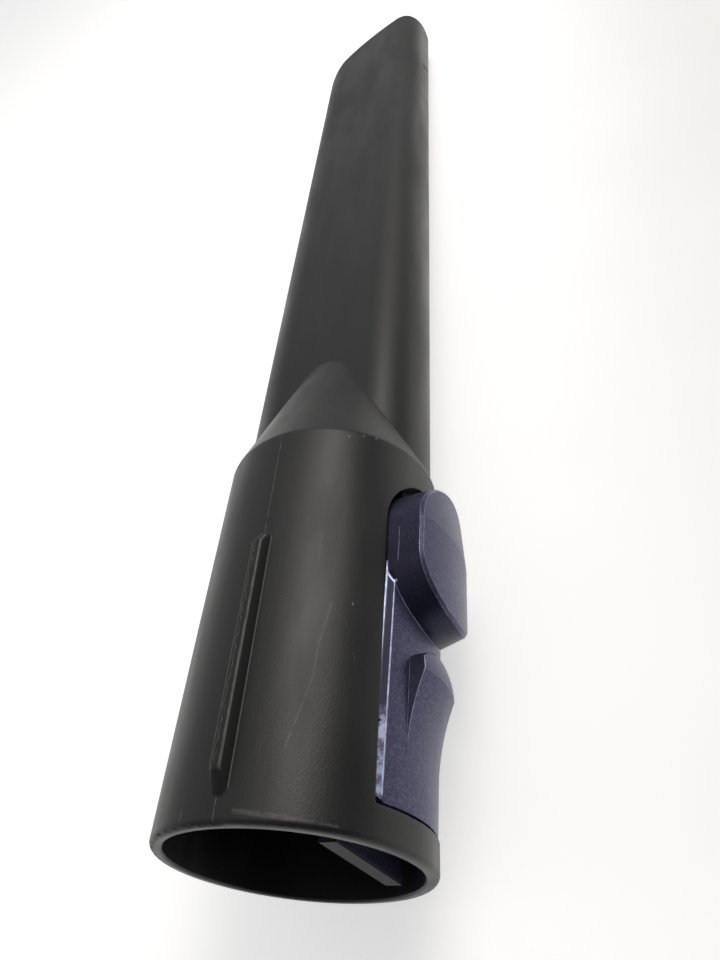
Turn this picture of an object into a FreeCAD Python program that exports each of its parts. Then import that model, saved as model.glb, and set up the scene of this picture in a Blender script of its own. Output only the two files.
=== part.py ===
import FreeCAD, Part
import math
import os

from FreeCAD import Vector

# Crevice tool for a vacuum cleaner, in millimetres.
# Origin: centre of the socket's mouth. +Y runs along the tool to the tip,
# +X points to the release latch, +Z is up, on the side of the moulded rib.

# Round socket that takes the cleaner's spigot
SOCKET_OD = 38.5
SOCKET_WALL = 1.75
SOCKET_LENGTH = 63.1
RIM_ROUND = 0.8
BORE_LEAD_IN = 0.25
SHOULDER_ROUND = 2.0

# Cone and flat nozzle
CONE_HALF_ANGLE = 18.7
NOZZLE_WIDTH = 37.7
NOZZLE_THICKNESS = 18.0
NOZZLE_WALL = 1.8
TOOL_LENGTH = 292.0
TIP_SETBACK = 37.5
TIP_ARC_RADIUS = 50.0
TIP_CORNER_RADIUS = 5.0

# Small cut worn into the long narrow side near the tip
NICK_FROM_TIP = 39.9
NICK_DEPTH = 1.5
NICK_OPENING = 1.0
NICK_LENGTH = 4.4
NICK_RISE = 3.3
NICK_SLANT = 30.0

# Moulded rib on top of the socket
RIB_START = 2.2
RIB_LENGTH = 40.5
RIB_BASE_WIDTH = 2.8
RIB_TOP_WIDTH = 1.5
RIB_HEIGHT = 1.7
RIB_LOWER_SLOPE = 3.6
RIB_UPPER_SLOPE = 3.0
RIB_EDGE_ROUND = 0.2

# Window for the latch, with an arched upper end
WINDOW_WIDTH = 20.4
WINDOW_LENGTH = 53.4
WINDOW_CORNER = 0.5
RING_HEIGHT = 4.35

# Pocket behind the window: a flat floor, two cheeks and an end wall
FLOOR_DEPTH = 7.6
FLOOR_THICKNESS = 1.6
CHEEK_THICKNESS = 2.2
END_WALL_THICKNESS = 1.5
FLOOR_CLEARANCE = 1.2

# Latch pivot
PIVOT_HEIGHT = 29.0
PIVOT_ABOVE_FLOOR_FLAT = 2.5
TRUNNION_RADIUS = 1.5
TRUNNION_LENGTH = 2.0
TRUNNION_CHAMFER = 0.5
TRUNNION_CLEARANCE = 0.06
TRUNNION_END_GAP = 0.2
LUG_REACH = 4.5

# Latch moulding
LATCH_SIDE_GAP = 0.3
LATCH_END_GAP = 0.45
LATCH_ARCH_GAP = 1.5
LATCH_FLUSH = 0.2
LATCH_PROUD = 0.6
LATCH_WALL = 1.6
LATCH_EDGE_CHAMFER = 0.8
LATCH_CORNER_CHAMFER = 1.0
BOX_ABOVE_PIVOT = 4.0
SKIRT_CLEARANCE = 2.9

# Small chip worn out of the latch's upper long edge
CHIP_HEIGHT = 14.7
CHIP_LENGTH = 1.0
CHIP_DEPTH = 0.4

# Tongue behind the ring, with the catch that holds the spigot
TONGUE_STAND = 0.85
TONGUE_THICKNESS = 2.3
TONGUE_SETBACK = 0.4
CATCH_HEIGHT = 1.2
CATCH_RAMP = 3.0
CATCH_LAND = 1.0
CATCH_HALF_WIDTH = 4.0
CATCH_ABOVE_RING = 2.0

# Press pad on the latch
PAD_LOWER_END = 30.2
PAD_END_DRAFT = 20.0
PAD_HEIGHT_LOWER = 4.5
PAD_HEIGHT_UPPER = 4.9
PAD_TOP_DROP = 0.9
PAD_SHELL = 2.0
PAD_EDGE_CHAMFER = 0.4

# Finger ramp below the pad
RAMP_HALF_WIDTH = 5.8
RAMP_START = 10.5
RAMP_CREST = 23.2
RAMP_END = 27.4
RAMP_END_BOW = 2.4
RAMP_CREST_HEIGHT = 2.4
RAMP_END_HEIGHT = 1.5

# Lip that stops the latch against the inside of the socket
LIP_HALF_WIDTH = 5.0
LIP_REACH = 2.6
LIP_CLEARANCE = 0.3
LIP_THICKNESS = 2.4

# Return spring under the pad
SPRING_MEAN_RADIUS = 3.2
SPRING_WIRE = 0.8
SPRING_WIRE_SIDES = 5
SPRING_PITCH = 3.0
SPRING_END_GAP = 0.05
SEAT_STANDOFF = 1.4
SEAT_RADIUS = 4.8
PEG_RADIUS = 2.2
LATCH_PEG_LENGTH = 3.0
FLOOR_PEG_LENGTH = 1.8

# How far cutting solids run past the faces that they cut
OVERRUN = 2.0

SOCKET_RADIUS = SOCKET_OD / 2
BORE_RADIUS = SOCKET_RADIUS - SOCKET_WALL
CONE_ANGLE = math.radians(CONE_HALF_ANGLE)

WINDOW_HALF = WINDOW_WIDTH / 2
WINDOW_ARCH = RING_HEIGHT + WINDOW_LENGTH - WINDOW_HALF
FLOOR_FLAT = BORE_RADIUS - FLOOR_DEPTH
FLOOR_TOP = FLOOR_FLAT + FLOOR_THICKNESS
CHEEK_OUTSIDE = WINDOW_HALF + CHEEK_THICKNESS
PIVOT_X = FLOOR_FLAT + PIVOT_ABOVE_FLOOR_FLAT
LUG_START = PIVOT_HEIGHT - LUG_REACH
BOX_END = PIVOT_HEIGHT + BOX_ABOVE_PIVOT
FLOOR_START = BOX_END + FLOOR_CLEARANCE

LATCH_HALF = WINDOW_HALF - LATCH_SIDE_GAP
LATCH_BOTTOM = RING_HEIGHT + LATCH_END_GAP
LATCH_TOP = RING_HEIGHT + WINDOW_LENGTH - LATCH_ARCH_GAP
LATCH_ARCH = LATCH_TOP - LATCH_HALF
SPRING_HEIGHT = LATCH_ARCH
SKIRT_FLAT = FLOOR_TOP + SKIRT_CLEARANCE
TONGUE_FACE = FLOOR_FLAT - TONGUE_STAND
TONGUE_BACK = TONGUE_FACE + TONGUE_THICKNESS
PAD_LOWER_CENTRE = PAD_LOWER_END + LATCH_HALF
PAD_DRAFT_RATE = math.tan(math.radians(PAD_END_DRAFT))
PAD_RADIUS_LOWER = SOCKET_RADIUS + PAD_HEIGHT_LOWER
PAD_RADIUS_UPPER = SOCKET_RADIUS + PAD_HEIGHT_UPPER
LIP_END = LATCH_TOP + LIP_REACH
POCKET_END = SOCKET_LENGTH - END_WALL_THICKNESS - SHOULDER_ROUND / 2


def line(a, b):
    """Straight edge between two points."""
    return Part.LineSegment(a, b).toShape()


def arc(a, middle, b):
    """Circular edge through three points."""
    return Part.Arc(a, middle, b).toShape()


def face_of(edges):
    """Flat face inside a closed run of edges."""
    return Part.Face(Part.Wire(edges))


def polygon_face(points):
    """Flat face with straight sides."""
    return Part.Face(Part.makePolygon(points + points[:1]))


def block(x_range, y_range, z_range):
    """Box between two limits on each axis."""
    sizes = [high - low for low, high in (x_range, y_range, z_range)]
    corner = Vector(x_range[0], y_range[0], z_range[0])
    return Part.makeBox(*sizes, corner)


def spun(face):
    """Full turn about the tool's axis of a face drawn as (radius, y), its seam away from the latch."""
    turned = face.revolve(Vector(0, 0, 0), Vector(0, 1, 0), 360)
    turned.rotate(Vector(0, 0, 0), Vector(0, 1, 0), 180)
    return turned


def rod(radius, start, end):
    """Cylinder between two points."""
    along = end - start
    return Part.makeCylinder(radius, along.Length, start, along)


def tool_rod(radius, y_start, y_end):
    """Cylinder on the tool's axis."""
    return rod(radius, Vector(0, y_start, 0), Vector(0, y_end, 0))


def stadium(width, thickness, y_start, y_end):
    """Bar along the tool with flat broad faces and full-round narrow sides."""
    flat = (width - thickness) / 2
    half = thickness / 2
    edges = [
        line(Vector(-flat, y_start, half), Vector(flat, y_start, half)),
        arc(Vector(flat, y_start, half), Vector(flat + half, y_start, 0), Vector(flat, y_start, -half)),
        line(Vector(flat, y_start, -half), Vector(-flat, y_start, -half)),
        arc(Vector(-flat, y_start, -half), Vector(-flat - half, y_start, 0), Vector(-flat, y_start, half)),
    ]
    return face_of(edges).extrude(Vector(0, y_end - y_start, 0))


def arched_bar(half, y_bottom, y_arch, x_start, x_end, corner):
    """Bar along X with a flat lower end, rounded lower corners and an arched upper end."""
    inset = corner * (1 - math.sqrt(0.5))

    def at(y, z):
        return Vector(x_start, y, z)

    edges = [
        line(at(y_bottom, corner - half), at(y_bottom, half - corner)),
        arc(at(y_bottom, half - corner), at(y_bottom + inset, half - inset), at(y_bottom + corner, half)),
        line(at(y_bottom + corner, half), at(y_arch, half)),
        arc(at(y_arch, half), at(y_arch + half, 0), at(y_arch, -half)),
        line(at(y_arch, -half), at(y_bottom + corner, -half)),
        arc(at(y_bottom + corner, -half), at(y_bottom + inset, inset - half), at(y_bottom, corner - half)),
    ]
    return face_of(edges).extrude(Vector(x_end - x_start, 0, 0))


def round_ended_bar(half, x_start, x_end):
    """Bar along X with half-round ends, the lower one drafted and the upper one upright."""

    def outline(x):
        y_lower = PAD_LOWER_CENTRE + (x - SOCKET_RADIUS) * PAD_DRAFT_RATE
        return Part.Wire([
            line(Vector(x, y_lower, half), Vector(x, LATCH_ARCH, half)),
            arc(Vector(x, LATCH_ARCH, half), Vector(x, LATCH_ARCH + half, 0), Vector(x, LATCH_ARCH, -half)),
            line(Vector(x, LATCH_ARCH, -half), Vector(x, y_lower, -half)),
            arc(Vector(x, y_lower, -half), Vector(x, y_lower - half, 0), Vector(x, y_lower, half)),
        ])

    return Part.makeLoft([outline(x_start), outline(x_end)], True, True)


def cone_height(radius):
    """Height above the mouth where the cone has a given outer radius."""
    return SOCKET_LENGTH + (SOCKET_RADIUS - radius) / math.tan(CONE_ANGLE)


def socket_outside():
    """Socket and cone as one turned solid, with a round rim and shoulder."""
    end_radius = NOZZLE_THICKNESS / 4
    end = cone_height(end_radius)
    tangent = SHOULDER_ROUND * math.tan(CONE_ANGLE / 2)
    rim_inset = RIM_ROUND * (1 - math.sqrt(0.5))

    def shoulder_point(angle):
        radius = SOCKET_RADIUS - SHOULDER_ROUND * (1 - math.cos(angle))
        height = SOCKET_LENGTH - tangent + SHOULDER_ROUND * math.sin(angle)
        return Vector(radius, height, 0)

    rim_flat = Vector(SOCKET_RADIUS - RIM_ROUND, 0, 0)
    rim_middle = Vector(SOCKET_RADIUS - rim_inset, rim_inset, 0)
    rim_side = Vector(SOCKET_RADIUS, RIM_ROUND, 0)
    edges = [
        line(Vector(0, 0, 0), rim_flat),
        arc(rim_flat, rim_middle, rim_side),
        line(rim_side, shoulder_point(0)),
        arc(shoulder_point(0), shoulder_point(CONE_ANGLE / 2), shoulder_point(CONE_ANGLE)),
        line(shoulder_point(CONE_ANGLE), Vector(end_radius, end, 0)),
        line(Vector(end_radius, end, 0), Vector(0, end, 0)),
        line(Vector(0, end, 0), Vector(0, 0, 0)),
    ]
    return spun(face_of(edges))


def socket_inside():
    """Bore with its lead-in, and the cone's inside at an even wall."""
    end_radius = NOZZLE_THICKNESS / 4 - NOZZLE_WALL
    across = SOCKET_WALL / math.cos(CONE_ANGLE)
    mouth = BORE_RADIUS + BORE_LEAD_IN
    points = [
        Vector(0, -OVERRUN, 0),
        Vector(mouth, -OVERRUN, 0),
        Vector(mouth, 0, 0),
        Vector(BORE_RADIUS, BORE_LEAD_IN, 0),
        Vector(BORE_RADIUS, cone_height(BORE_RADIUS + across), 0),
        Vector(end_radius, cone_height(end_radius + across), 0),
        Vector(0, cone_height(end_radius + across), 0),
    ]
    return spun(polygon_face(points))


def tip_cutter():
    """Everything past the tip's bowed, oblique end."""
    half = NOZZLE_WIDTH / 2
    corner = Vector(half - TIP_CORNER_RADIUS, TOOL_LENGTH - TIP_CORNER_RADIUS, 0)
    short = Vector(-half, TOOL_LENGTH - TIP_SETBACK, 0)
    inner_radius = TIP_ARC_RADIUS - TIP_CORNER_RADIUS
    span = corner - short
    reach = (TIP_ARC_RADIUS**2 - inner_radius**2 + span.Length**2) / (2 * span.Length)
    rise = math.sqrt(TIP_ARC_RADIUS**2 - reach**2)
    along = Vector(span).normalize()
    centre = short + along * reach + Vector(along.y, -along.x, 0) * rise

    def bow_point(direction):
        return centre + Vector(direction).normalize() * TIP_ARC_RADIUS

    blend = bow_point(corner - centre)
    bow_middle = bow_point((short - centre).normalize() + (blend - centre).normalize())
    side = corner + Vector(TIP_CORNER_RADIUS, 0, 0)
    turn = (blend - corner).normalize() + Vector(1, 0, 0)
    corner_middle = corner + turn.normalize() * TIP_CORNER_RADIUS
    past = TOOL_LENGTH + OVERRUN
    outer_side = side + Vector(OVERRUN, 0, 0)
    outer_short = short - Vector(OVERRUN, 0, 0)
    edges = [
        line(outer_short, short),
        arc(short, bow_middle, blend),
        arc(blend, corner_middle, side),
        line(side, outer_side),
        line(outer_side, Vector(outer_side.x, past, 0)),
        line(Vector(outer_side.x, past, 0), Vector(outer_short.x, past, 0)),
        line(Vector(outer_short.x, past, 0), outer_short),
    ]
    face = face_of(edges)
    face.translate(Vector(0, 0, -NOZZLE_THICKNESS))
    return face.extrude(Vector(0, 0, 2 * NOZZLE_THICKNESS))


def nick_cutter():
    """Slanted V cut across the long narrow side."""
    side = NOZZLE_WIDTH / 2
    y = TOOL_LENGTH - NICK_FROM_TIP
    spread = NICK_OPENING / 2
    low = NICK_RISE - NICK_LENGTH
    points = [
        Vector(side - NICK_DEPTH, y, low),
        Vector(side + NICK_DEPTH, y - 2 * spread, low),
        Vector(side + NICK_DEPTH, y + 2 * spread, low),
    ]
    cut = polygon_face(points).extrude(Vector(0, 0, NICK_LENGTH))
    cut.rotate(Vector(side, y, 0), Vector(1, 0, 0), NICK_SLANT)
    return cut


def top_rib():
    """Rib along the top of the socket, with steep sides and round ends that slope to the tube."""

    def outline(width, y_start, y_end, z):
        half = width / 2
        lower = y_start + half
        upper = y_end - half
        return Part.Wire([
            arc(Vector(-half, lower, z), Vector(0, y_start, z), Vector(half, lower, z)),
            line(Vector(half, lower, z), Vector(half, upper, z)),
            arc(Vector(half, upper, z), Vector(0, y_end, z), Vector(-half, upper, z)),
            line(Vector(-half, upper, z), Vector(-half, lower, z)),
        ])

    end = RIB_START + RIB_LENGTH
    foot = math.sqrt(SOCKET_RADIUS**2 - (RIB_BASE_WIDTH / 2) ** 2) - SOCKET_WALL / 4
    top = SOCKET_RADIUS + RIB_HEIGHT
    base_outline = outline(RIB_BASE_WIDTH, RIB_START, end, foot)
    top_outline = outline(RIB_TOP_WIDTH, RIB_START + RIB_LOWER_SLOPE, end - RIB_UPPER_SLOPE, top)
    rib = Part.makeLoft([base_outline, top_outline], True, True)
    crest = [e for e in rib.Edges if e.BoundBox.ZMin > SOCKET_RADIUS]
    return rib.makeFillet(RIB_EDGE_ROUND, crest)


def pocket_walls():
    """Floor, cheeks and end wall that close the latch's pocket off from the bore."""
    outside = block(
        (FLOOR_FLAT, SOCKET_RADIUS),
        (LUG_START, POCKET_END + END_WALL_THICKNESS),
        (-CHEEK_OUTSIDE, CHEEK_OUTSIDE),
    )
    within = tool_rod(BORE_RADIUS + SOCKET_WALL / 2, 0, SOCKET_LENGTH)
    space = block(
        (FLOOR_TOP, SOCKET_RADIUS + OVERRUN),
        (LUG_START - OVERRUN, POCKET_END),
        (-WINDOW_HALF, WINDOW_HALF),
    )
    open_end = block(
        (FLOOR_FLAT - OVERRUN, SOCKET_RADIUS + OVERRUN),
        (LUG_START - OVERRUN, FLOOR_START),
        (-WINDOW_HALF, WINDOW_HALF),
    )
    return outside.common(within).cut([space, open_end])


def trunnion(radius, reach, side):
    """Pivot stub on one side of the latch."""
    start = Vector(PIVOT_X, PIVOT_HEIGHT, side * (LATCH_HALF - LATCH_WALL / 2))
    return rod(radius, start, Vector(PIVOT_X, PIVOT_HEIGHT, side * (LATCH_HALF + reach)))


def spring_peg(x_start, x_end, radius):
    """Round seat or peg on the spring's axis."""
    return rod(radius, Vector(x_start, SPRING_HEIGHT, 0), Vector(x_end, SPRING_HEIGHT, 0))


def make_body():
    """Socket, cone and nozzle as one hollow moulding."""
    nozzle_start = SOCKET_LENGTH - SHOULDER_ROUND
    nozzle = stadium(NOZZLE_WIDTH, NOZZLE_THICKNESS, nozzle_start, TOOL_LENGTH + OVERRUN / 2)
    channel = stadium(
        NOZZLE_WIDTH - 2 * NOZZLE_WALL,
        NOZZLE_THICKNESS - 2 * NOZZLE_WALL,
        SOCKET_LENGTH,
        TOOL_LENGTH + OVERRUN,
    )
    body = socket_outside().fuse([nozzle, top_rib()])
    body = body.cut([socket_inside(), channel, tip_cutter(), nick_cutter()])
    floor_peg = spring_peg(FLOOR_TOP - FLOOR_THICKNESS / 2, FLOOR_TOP + FLOOR_PEG_LENGTH, PEG_RADIUS)
    body = body.fuse([pocket_walls(), floor_peg])
    window = arched_bar(
        WINDOW_HALF, RING_HEIGHT, WINDOW_ARCH, FLOOR_TOP, SOCKET_RADIUS + OVERRUN, WINDOW_CORNER
    )
    seats = [
        trunnion(TRUNNION_RADIUS + TRUNNION_CLEARANCE, TRUNNION_LENGTH + TRUNNION_END_GAP, side)
        for side in (-1, 1)
    ]
    return body.cut([window] + seats).removeSplitter()


def plate_radius(y):
    """Outer radius of the latch's lower part, which rises slowly from the ring to the pad."""
    share = (y - LATCH_BOTTOM) / (PAD_LOWER_CENTRE - LATCH_BOTTOM)
    return SOCKET_RADIUS - LATCH_FLUSH + (LATCH_FLUSH + LATCH_PROUD) * share


def plate_cap(offset):
    """Turned solid whose surface is the outside of the latch's lower part, lowered by an offset."""
    bottom = LATCH_BOTTOM - OVERRUN
    top = PAD_LOWER_CENTRE + OVERRUN
    points = [
        Vector(0, bottom, 0),
        Vector(plate_radius(bottom) - offset, bottom, 0),
        Vector(plate_radius(top) - offset, top, 0),
        Vector(0, top, 0),
    ]
    return spun(polygon_face(points))


def latch_plate():
    """Lower part of the latch, solid, with chamfered long edges and a shallow upper half."""
    width = (-LATCH_HALF, LATCH_HALF)
    plate = block((TONGUE_FACE, SOCKET_OD), (LATCH_BOTTOM, PAD_LOWER_CENTRE), width).common(plate_cap(0))
    low_edges = [e for e in plate.Edges if e.BoundBox.YMax < PIVOT_HEIGHT]
    corner_edges = [e for e in low_edges if e.BoundBox.XLength > LATCH_WALL]
    upright_edges = [e for e in corner_edges if e.BoundBox.ZLength < LATCH_WALL]
    plate = plate.makeChamfer(LATCH_CORNER_CHAMFER, upright_edges)
    outer_edges = [e for e in plate.Edges if e.CenterOfMass.x > TONGUE_BACK]
    long_edges = [e for e in outer_edges if e.BoundBox.YLength > LATCH_HALF]
    plate = plate.makeChamfer(LATCH_EDGE_CHAMFER, long_edges)
    return plate.cut(block((0, SKIRT_FLAT), (BOX_END, PAD_LOWER_CENTRE + OVERRUN), (-SOCKET_OD, SOCKET_OD)))


def pad_face_cap():
    """Turned solid whose surface is the pad's face, straight below and falling away at the top."""
    bottom = PAD_LOWER_END - PAD_HEIGHT_LOWER
    top = LATCH_TOP + OVERRUN
    points = [
        Vector(0, bottom, 0),
        Vector(PAD_RADIUS_LOWER, bottom, 0),
        Vector(PAD_RADIUS_UPPER, LATCH_ARCH, 0),
        Vector(PAD_RADIUS_UPPER - PAD_TOP_DROP, top, 0),
        Vector(0, top, 0),
    ]
    return spun(polygon_face(points))


def press_pad():
    """Raised pad with half-round ends and a face that follows the socket's curve."""
    bar = round_ended_bar(LATCH_HALF, SKIRT_FLAT, PAD_RADIUS_LOWER + OVERRUN)
    pad = bar.common(pad_face_cap())
    rim = [e for e in pad.Edges if e.BoundBox.XMin > SOCKET_RADIUS - LATCH_FLUSH]
    return pad.makeChamfer(PAD_EDGE_CHAMFER, rim)


def finger_ramp():
    """Ramp with a hollow slope, a round crest and a bowed, steep upper end."""
    root = SOCKET_RADIUS - LATCH_WALL
    start = Vector(plate_radius(RAMP_START), RAMP_START, 0)
    crest = Vector(SOCKET_RADIUS + RAMP_CREST_HEIGHT, RAMP_CREST, 0)
    end = Vector(SOCKET_RADIUS + RAMP_END_HEIGHT, RAMP_END, 0)
    slope_middle = (start + crest) / 2 - Vector(RAMP_CREST_HEIGHT / 4, 0, 0)
    crown_middle = (crest + end) / 2 + Vector(RAMP_CREST_HEIGHT / 10, 0, 0)
    profile = [
        line(Vector(root, RAMP_START, 0), start),
        arc(start, slope_middle, crest),
        arc(crest, crown_middle, end),
        line(end, Vector(root, RAMP_END, 0)),
        line(Vector(root, RAMP_END, 0), Vector(root, RAMP_START, 0)),
    ]
    half = RAMP_HALF_WIDTH
    side_end = RAMP_END - RAMP_END_BOW
    outline = [
        line(Vector(0, RAMP_START, -half), Vector(0, RAMP_START, half)),
        line(Vector(0, RAMP_START, half), Vector(0, side_end, half)),
        arc(Vector(0, side_end, half), Vector(0, RAMP_END, 0), Vector(0, side_end, -half)),
        line(Vector(0, side_end, -half), Vector(0, RAMP_START, -half)),
    ]
    return spun(face_of(profile)).common(face_of(outline).extrude(Vector(SOCKET_OD, 0, 0)))


def edge_chip():
    """V cut in the latch's upper long edge."""
    half = CHIP_LENGTH / 2
    start = TONGUE_BACK + LATCH_WALL
    rim = LATCH_HALF + half
    points = [
        Vector(start, CHIP_HEIGHT, LATCH_HALF - CHIP_DEPTH),
        Vector(start, CHIP_HEIGHT - 2 * half, rim),
        Vector(start, CHIP_HEIGHT + 2 * half, rim),
    ]
    return polygon_face(points).extrude(Vector(SOCKET_RADIUS, 0, 0))


def catch():
    """Tooth on the tongue's inner face, ramped towards the mouth."""
    foot = RING_HEIGHT + CATCH_ABOVE_RING
    tip = TONGUE_FACE - CATCH_HEIGHT
    crest = foot + CATCH_RAMP
    points = [
        Vector(TONGUE_BACK, foot, -CATCH_HALF_WIDTH),
        Vector(TONGUE_FACE, foot, -CATCH_HALF_WIDTH),
        Vector(tip, crest, -CATCH_HALF_WIDTH),
        Vector(tip, crest + CATCH_LAND, -CATCH_HALF_WIDTH),
        Vector(TONGUE_BACK, crest + CATCH_LAND, -CATCH_HALF_WIDTH),
    ]
    return polygon_face(points).extrude(Vector(0, 0, 2 * CATCH_HALF_WIDTH))


def stop_lip():
    """Lip at the latch's upper end that comes up under the socket wall."""
    reach = tool_rod(BORE_RADIUS - LIP_CLEARANCE, LATCH_ARCH, LIP_END)
    low = BORE_RADIUS - LIP_CLEARANCE - LIP_THICKNESS
    lip = block((low, BORE_RADIUS), (LATCH_TOP - LATCH_WALL, LIP_END), (-LIP_HALF_WIDTH, LIP_HALF_WIDTH))
    return lip.common(reach)


def seat_face():
    """Distance of the latch's flat spring seat from the tool's axis."""
    share = (SPRING_HEIGHT - PAD_LOWER_END) / (LATCH_ARCH - PAD_LOWER_END)
    face = PAD_RADIUS_LOWER + (PAD_RADIUS_UPPER - PAD_RADIUS_LOWER) * share
    return face - PAD_SHELL - SEAT_STANDOFF


def make_latch():
    """Rocking latch: pad, ramp, tongue, catch and trunnions in one moulding."""
    inner = (LATCH_WALL - LATCH_HALF, LATCH_HALF - LATCH_WALL)
    tongue = block(
        (TONGUE_FACE, TONGUE_BACK), (TONGUE_SETBACK, LATCH_BOTTOM + LATCH_WALL), (-LATCH_HALF, LATCH_HALF)
    )
    outside = latch_plate().fuse([tongue, press_pad(), finger_ramp()])
    plate_space = block((TONGUE_BACK, SOCKET_OD), (LATCH_BOTTOM - OVERRUN, PAD_LOWER_CENTRE), inner)
    pad_space = round_ended_bar(LATCH_HALF - LATCH_WALL, SKIRT_FLAT - OVERRUN, PAD_RADIUS_LOWER)
    pad_inside = tool_rod(PAD_RADIUS_UPPER - PAD_TOP_DROP - PAD_SHELL, 0, TOOL_LENGTH)
    hollow = [plate_space.common(plate_cap(LATCH_WALL)), pad_space.common(pad_inside)]
    shell = outside.cut(hollow + [edge_chip()])

    face = seat_face()
    seat = spring_peg(face, face + SEAT_STANDOFF + PAD_SHELL / 2, SEAT_RADIUS)
    peg = spring_peg(face - LATCH_PEG_LENGTH, face + PAD_SHELL / 2, PEG_RADIUS)
    pivots = []
    for side in (-1, 1):
        stub = trunnion(TRUNNION_RADIUS, TRUNNION_LENGTH, side)
        tip_edges = [e for e in stub.Edges if abs(e.CenterOfMass.z) > LATCH_HALF + TRUNNION_LENGTH / 2]
        ends = [e for e in tip_edges if len(e.Vertexes) == 1]
        pivots.append(stub.makeChamfer(TRUNNION_CHAMFER, ends))
    return shell.fuse([seat, peg, catch(), stop_lip()] + pivots).removeSplitter()


def make_spring():
    """Compression spring with ground ends, standing on the pocket's floor."""
    length = seat_face() - SPRING_END_GAP - FLOOR_TOP
    spare = SPRING_WIRE
    helix = Part.makeHelix(SPRING_PITCH, length + 2 * spare, SPRING_MEAN_RADIUS)
    corners = []
    for i in range(SPRING_WIRE_SIDES):
        angle = math.tau * i / SPRING_WIRE_SIDES
        corner = Vector(math.cos(angle), 0, math.sin(angle)) * (SPRING_WIRE / 2)
        corners.append(corner + Vector(SPRING_MEAN_RADIUS, 0, 0))
    wire_section = Part.makePolygon(corners + corners[:1])
    coil = Part.Wire(helix.Edges).makePipeShell([wire_section], True, True)
    coil.translate(Vector(0, 0, -spare))
    outside = SPRING_MEAN_RADIUS + SPRING_WIRE
    coil = coil.common(Part.makeCylinder(outside, length))
    coil.rotate(Vector(0, 0, 0), Vector(0, 1, 0), 90)
    coil.translate(Vector(FLOOR_TOP, SPRING_HEIGHT, 0))
    return coil


def main():
    """Write one STEP file for each piece."""
    os.makedirs("parts", exist_ok=True)
    pieces = {
        "nozzle_body": make_body(),
        "release_latch": make_latch(),
        "latch_spring": make_spring(),
    }
    for name, shape in pieces.items():
        print(name, "solids", len(shape.Solids), "valid", shape.isValid(), "volume", round(shape.Volume, 2))
        shape.exportStep(os.path.join("parts", name + ".step"))


main()
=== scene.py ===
import logging
import math
from dataclasses import dataclass, field
from enum import Enum
from typing import Any

import bpy
from mathutils import Matrix, Vector


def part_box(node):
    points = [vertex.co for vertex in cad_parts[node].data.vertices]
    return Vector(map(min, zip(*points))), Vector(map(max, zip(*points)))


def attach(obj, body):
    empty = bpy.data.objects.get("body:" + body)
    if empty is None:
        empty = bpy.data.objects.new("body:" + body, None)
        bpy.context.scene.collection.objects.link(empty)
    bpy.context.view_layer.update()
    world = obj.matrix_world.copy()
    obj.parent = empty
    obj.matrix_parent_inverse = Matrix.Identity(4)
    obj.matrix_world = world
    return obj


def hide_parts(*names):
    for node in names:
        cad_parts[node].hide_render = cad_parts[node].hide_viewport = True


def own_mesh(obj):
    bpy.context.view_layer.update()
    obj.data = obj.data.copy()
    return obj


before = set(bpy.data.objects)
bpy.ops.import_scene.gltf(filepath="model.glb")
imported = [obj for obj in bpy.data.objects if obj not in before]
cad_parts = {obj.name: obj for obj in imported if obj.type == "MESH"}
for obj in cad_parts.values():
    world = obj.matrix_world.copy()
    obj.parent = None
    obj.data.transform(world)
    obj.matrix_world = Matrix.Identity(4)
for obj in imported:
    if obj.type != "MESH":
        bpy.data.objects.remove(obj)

log = logging.getLogger("crevice_tool")

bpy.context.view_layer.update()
MM = 0.001
# Farther out than any place on the tool, in millimetres: a band that ends there is open.
FAR = 400.0
NOISE_DETAIL = 3.0
NOISE_ROUGHNESS = 0.55
RELIEF_SAMPLES = 4
EDGE_SAMPLES = 6
# Cosines of the turn of the surface where an edge starts to show and where it shows fully.
EDGE_TURN = (0.995, 0.96)
Point = tuple[float, float, float]
Span = tuple[float, float]


class Body(Enum):
    """Rigid body of the tool that a piece rides on."""

    TOOL = "tool"


class Node(Enum):
    """CAD nodes of the tool."""

    NOZZLE = "nozzle_body"
    LATCH = "release_latch"
    SPRING = "latch_spring"


class Kind(Enum):
    """Shader nodes that the finishes are made of."""

    BACKGROUND = "ShaderNodeBackground"
    BEVEL = "ShaderNodeBevel"
    BUMP = "ShaderNodeBump"
    CELLS = "ShaderNodeTexVoronoi"
    CHANNELS = "ShaderNodeSeparateColor"
    CLAMP = "ShaderNodeClamp"
    COORDINATES = "ShaderNodeTexCoord"
    GEOMETRY = "ShaderNodeNewGeometry"
    MATH = "ShaderNodeMath"
    MIX = "ShaderNodeMix"
    NOISE = "ShaderNodeTexNoise"
    OUTPUT = "ShaderNodeOutputMaterial"
    PRINCIPLED = "ShaderNodeBsdfPrincipled"
    RANGE = "ShaderNodeMapRange"
    VECTOR = "ShaderNodeVectorMath"
    WORLD = "ShaderNodeOutputWorld"
    XYZ = "ShaderNodeSeparateXYZ"


class Contrast(Enum):
    """Noise values that give zero and one, from gentle patches to thin lines."""

    GENTLE = (0.2, 0.8)
    CLEAR = (0.3, 0.7)
    HARD = (0.4, 0.6)
    RUBBED = (0.3, 0.62)
    BROKEN = (0.3, 0.55)
    THIN = (0.66, 0.74)


def linear(code: str) -> tuple[float, float, float, float]:
    """Turn an sRGB hex colour into linear values, by the curve of the sRGB standard.

    Args:
        code: six hex digits after a hash.

    Returns:
        Red, green, blue and an alpha of one.
    """
    values = []
    for place in (1, 3, 5):
        share = int(code[place:place + 2], 16) / 255
        values.append(share / 12.92 if share <= 0.04045 else ((share + 0.055) / 1.055) ** 2.4)
    return (values[0], values[1], values[2], 1.0)


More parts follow.
